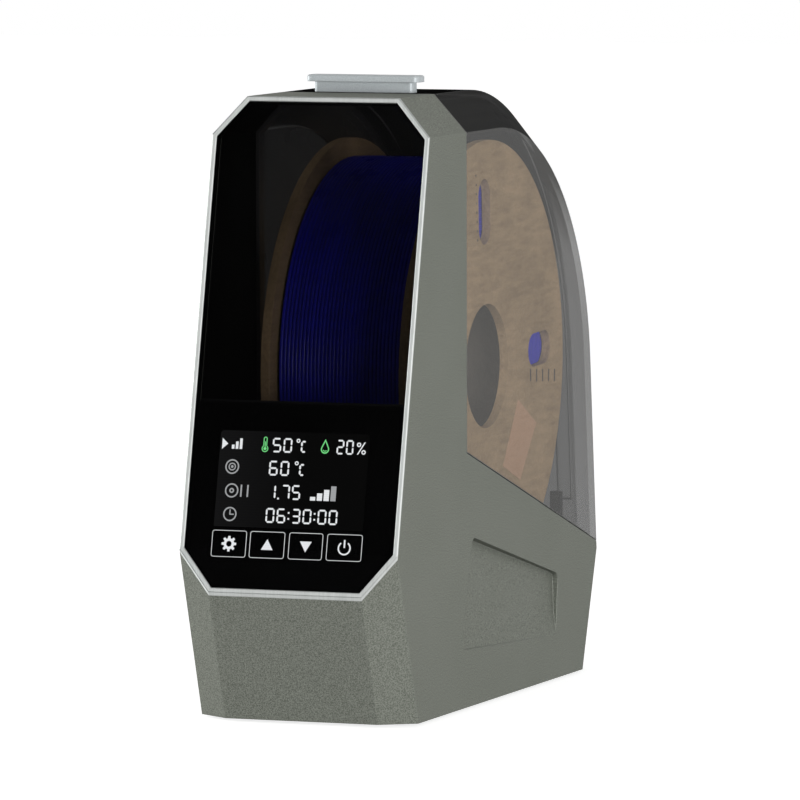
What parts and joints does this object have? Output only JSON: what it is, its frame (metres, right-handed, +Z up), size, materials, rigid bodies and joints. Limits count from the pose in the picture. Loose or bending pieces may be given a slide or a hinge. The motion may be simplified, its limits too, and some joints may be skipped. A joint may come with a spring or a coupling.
{
  "type": "filament dryer box",
  "caption": "Upright heated dryer box with a leaning glass front, a hinged smoked lid with a pull handle and a filament spool turning on rollers inside.",
  "frame": {"origin": "centre of the footprint of the overall box, on the surface that the rubber feet stand on", "axes": "+X to the right seen from the front, +Y to the back, +Z up; the front panel faces -Y"},
  "size_m": [0.1, 0.282, 0.2755],
  "materials": {
    "housing": "fine-textured warm grey moulded plastic",
    "bezel": "bright silver trim",
    "tinted_glass": "dark tinted front glass",
    "black_print": "opaque black print behind the glass",
    "display": "dark display module",
    "circuit_board": "green circuit board",
    "components": "dark electronic components",
    "ribbon": "flat white cable",
    "black_plastic": "matte black moulded plastic",
    "rubber_black": "soft black rubber",
    "seal": "dark grey silicone lip",
    "steel": "plain steel",
    "bush": "sintered bronze bush",
    "heater_metal": "bare finned aluminium",
    "smoked_lid": "smoked transparent plastic",
    "handle": "pale blue-grey satin plastic",
    "cardboard": "kraft cardboard",
    "filament": "royal blue filament",
    "contact": "plated contact blades"
  },
  "bodies": {
    "base": {"main_housing": "housing", "rim_gasket": "seal", "front_bezel": "bezel", "front_glass": "tinted_glass", "glass_mask": "black_print", "lcd_module": "display", "touch_board": "circuit_board", "display_carrier": "black_plastic", "display_cable": "ribbon", "chamber_tray": "black_plastic", "bottom_plate": "black_plastic", "rubber_feet": "rubber_black", "bottom_screws": "steel", "roller_brackets": "black_plastic", "roller_bushes": "bush", "blower_case": "black_plastic", "blower_cover": "black_plastic", "blower_spindle": "steel", "heater_duct": "heater_metal", "heater_core": "heater_metal", "control_board": "circuit_board", "board_parts": "components", "power_inlet": "black_plastic", "inlet_pins": "contact", "humidity_sensor": "black_plastic", "hinge_pins": "steel"},
    "lid": {"lid_shell": "smoked_lid", "lid_handle": "handle", "handle_screws": "steel", "filament_port": "rubber_black"},
    "spool": {"spool_flange_left": "cardboard", "spool_flange_right": "cardboard", "spool_drum": "cardboard", "filament_core": "filament", "filament_winding": "filament"},
    "front_roller": {"front_roller_shaft": "steel", "front_roller_hubs": "black_plastic", "front_roller_tyres": "rubber_black"},
    "rear_roller": {"rear_roller_shaft": "steel", "rear_roller_hubs": "black_plastic", "rear_roller_tyres": "rubber_black"},
    "impeller": {"blower_impeller": "black_plastic"}
  },
  "joints": [
    {"name": "lid_hinge", "type": "hinge", "parent": "base", "child": "lid", "pos_m": [0, 0.1368, 0.0525], "axis": [-1, 0, 0], "range_deg": [0, 100]},
    {"name": "spool_spin", "type": "hinge", "parent": "base", "child": "spool", "pos_m": [0, 0.0177, 0.1447], "axis": [1, 0, 0], "continuous": true},
    {"name": "front_roller_spin", "type": "hinge", "parent": "base", "child": "front_roller", "pos_m": [0, -0.04959, 0.05857], "axis": [1, 0, 0], "continuous": true},
    {"name": "rear_roller_spin", "type": "hinge", "parent": "base", "child": "rear_roller", "pos_m": [0, 0.08499, 0.05857], "axis": [1, 0, 0], "continuous": true},
    {"name": "blower_spin", "type": "hinge", "parent": "base", "child": "impeller", "pos_m": [0, 0.066, 0.02], "axis": [0, 0, 1], "continuous": true}
  ],
  "couplings": [
    {"joint": "front_roller_spin", "follows": "spool_spin", "ratio": -11.111},
    {"joint": "rear_roller_spin", "follows": "spool_spin", "ratio": -11.111}
  ]
}
